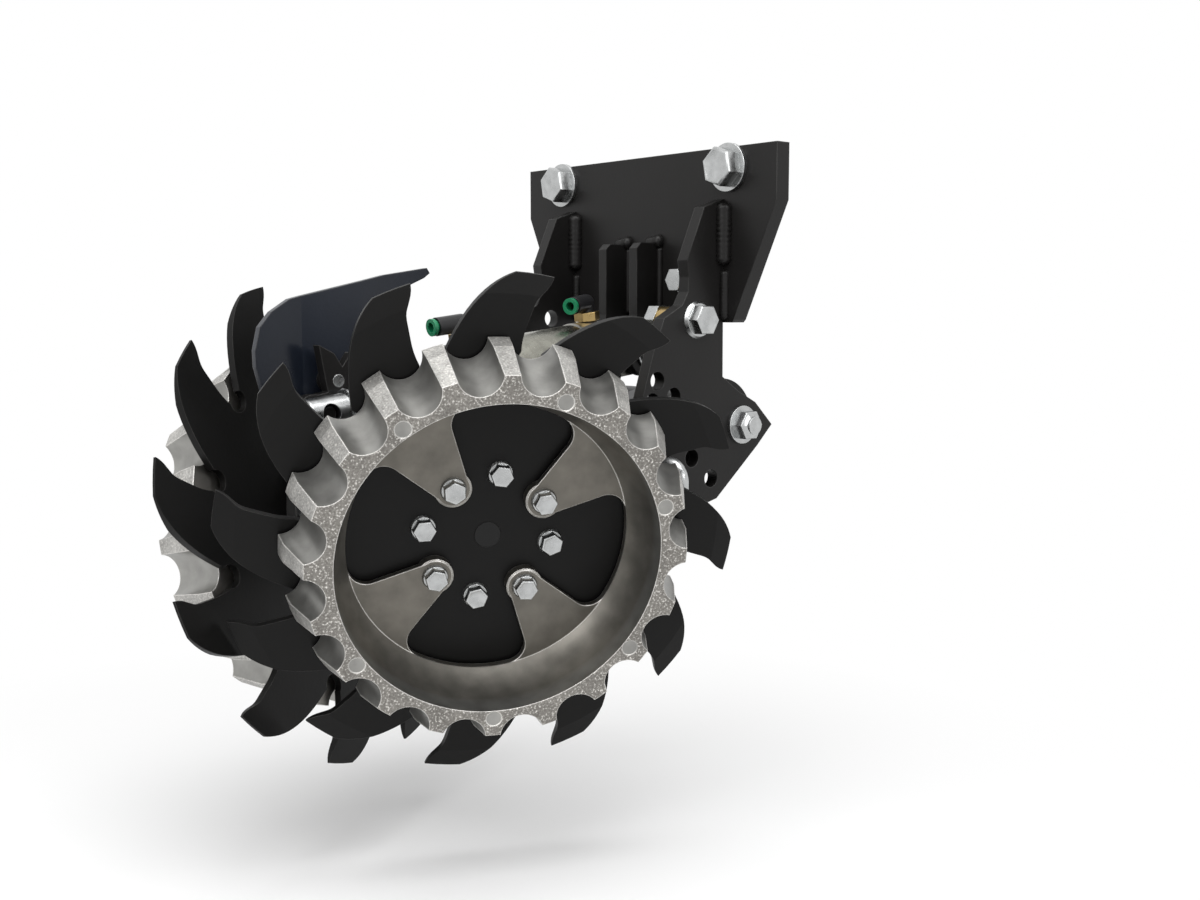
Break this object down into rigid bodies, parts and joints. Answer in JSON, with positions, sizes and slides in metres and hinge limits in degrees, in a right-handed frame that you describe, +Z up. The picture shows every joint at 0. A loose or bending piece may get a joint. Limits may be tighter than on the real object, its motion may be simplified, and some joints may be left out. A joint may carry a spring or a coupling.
{
  "type": "row cleaner",
  "caption": "Cylinder-controlled planter row cleaner: two angled toothed discs, each with a grooved cast wheel, on a swinging arm below a bolted mount plate.",
  "frame": {"origin": "middle of the mount plate's rear face, midway between the two mount bolts", "axes": "+X to the machine's left, +Y rearward out of the mount plate, +Z up; the row cleaner travels along -Y"},
  "size_m": [0.3332, 0.4224, 0.4162],
  "materials": {
    "black_paint": "satin powder coat",
    "deflector_paint": "satin",
    "black_blade": "semi-gloss with worn edges",
    "cast_aluminium": "raw casting",
    "cast_iron": "dark cast",
    "bearing_steel": "ground",
    "rubber_seal": "matte",
    "black_plug": "matte",
    "zinc": "zinc plated",
    "machined_steel": "turned",
    "bronze": "turned",
    "brass": "plated",
    "stainless": "drawn tube",
    "cap_aluminium": "turned",
    "chromed_rod": "polished",
    "black_plastic": "moulded",
    "green_plastic": "moulded"
  },
  "bodies": {
    "mount": {"mount_plate": "black_paint", "left_hanger": "black_paint", "right_hanger": "black_paint", "clevis_ears": "black_paint", "clevis_pin": "zinc", "clevis_clip": "zinc", "mount_washers": "zinc", "mount_bolts": "zinc", "plate_bolt": "zinc", "pivot_sleeve": "machined_steel", "pivot_washers": "zinc", "pivot_bolt": "zinc", "pivot_nut": "zinc", "cross_bolt": "zinc", "cross_spacer": "brass", "cross_nut": "zinc"},
    "swing_arm": {"arm_bar": "black_paint", "pivot_tube": "black_paint", "pivot_bushings": "bronze", "left_spindle": "machined_steel", "right_spindle": "machined_steel", "spindle_nuts": "zinc", "rod_upright": "black_paint", "rod_pin": "black_paint", "deflector": "deflector_paint", "deflector_bolts": "zinc", "stop_plate": "black_paint"},
    "left_wheel": {"left_toothed_disc": "black_blade", "left_floater_wheel": "cast_aluminium", "left_hub": "cast_iron", "left_bearing": "bearing_steel", "left_hub_seal": "rubber_seal", "left_disc_plug": "black_plug", "left_long_bolts": "zinc", "left_short_bolts": "zinc", "left_flange_nuts": "zinc"},
    "right_wheel": {"right_toothed_disc": "black_blade", "right_floater_wheel": "cast_aluminium", "right_hub": "cast_iron", "right_bearing": "bearing_steel", "right_hub_seal": "rubber_seal", "right_disc_plug": "black_plug", "right_long_bolts": "zinc", "right_short_bolts": "zinc", "right_flange_nuts": "zinc"},
    "cylinder_barrel": {"barrel_tube": "stainless", "rear_cap": "cap_aluminium", "front_cap": "cap_aluminium", "port_bases": "brass"},
    "cylinder_rod": {"piston": "cap_aluminium", "rod": "chromed_rod", "jam_nut": "zinc", "rod_end": "zinc", "wire_clip": "zinc"},
    "front_elbow_body": {"front_elbow": "black_plastic"},
    "front_collar_body": {"front_collar": "green_plastic"},
    "rear_elbow_body": {"rear_elbow": "black_plastic"},
    "rear_collar_body": {"rear_collar": "green_plastic"},
    "stop_pin_body": {"stop_pin": "zinc"}
  },
  "joints": [
    {"name": "arm_swing", "type": "hinge", "parent": "mount", "child": "swing_arm", "pos_m": [0, 0.0072, -0.1785], "axis": [-1, 0, 0], "range_deg": [-8, 12]},
    {"name": "left_wheel_spin", "type": "hinge", "parent": "swing_arm", "child": "left_wheel", "pos_m": [0.06961, -0.20474, -0.23472], "axis": [0.8899, -0.3953, -0.2277], "continuous": true},
    {"name": "right_wheel_spin", "type": "hinge", "parent": "swing_arm", "child": "right_wheel", "pos_m": [-0.06961, -0.23174, -0.24052], "axis": [-0.8899, -0.3953, -0.2277], "continuous": true},
    {"name": "cylinder_swing", "type": "hinge", "parent": "mount", "child": "cylinder_barrel", "pos_m": [0, -0.025, -0.1295], "axis": [-1, 0, 0], "range_deg": [-9.5, 14]},
    {"name": "rod_slide", "type": "slide", "parent": "cylinder_barrel", "child": "cylinder_rod", "axis": [0, -0.9923, -0.1242], "range_m": [-0.0115, 0.0078]},
    {"name": "front_elbow_swivel", "type": "hinge", "parent": "cylinder_barrel", "child": "front_elbow_body", "pos_m": [0, -0.17322, -0.11278], "axis": [0, -0.1242, 0.9923], "range_deg": [-60, 60]},
    {"name": "front_collar_push", "type": "slide", "parent": "front_elbow_body", "child": "front_collar_body", "axis": [0, 0.9923, 0.1242], "range_m": [0, 0.0014], "stiffness_N_per_m": 1500},
    {"name": "rear_elbow_swivel", "type": "hinge", "parent": "cylinder_barrel", "child": "rear_elbow_body", "pos_m": [0, -0.06457, -0.09918], "axis": [0, -0.1242, 0.9923], "range_deg": [-60, 60]},
    {"name": "rear_collar_push", "type": "slide", "parent": "rear_elbow_body", "child": "rear_collar_body", "axis": [-0.3584, 0.9264, 0.1159], "range_m": [0, 0.0014], "stiffness_N_per_m": 1500},
    {"name": "stop_pin_pull", "type": "slide", "parent": "mount", "child": "stop_pin_body", "axis": [1, 0, 0], "range_m": [0, 0.0075]}
  ],
  "couplings": [
    {"joint": "cylinder_swing", "follows": "arm_swing", "ratio": 1.1082},
    {"joint": "rod_slide", "follows": "arm_swing", "m_per_rad": -0.050397}
  ]
}
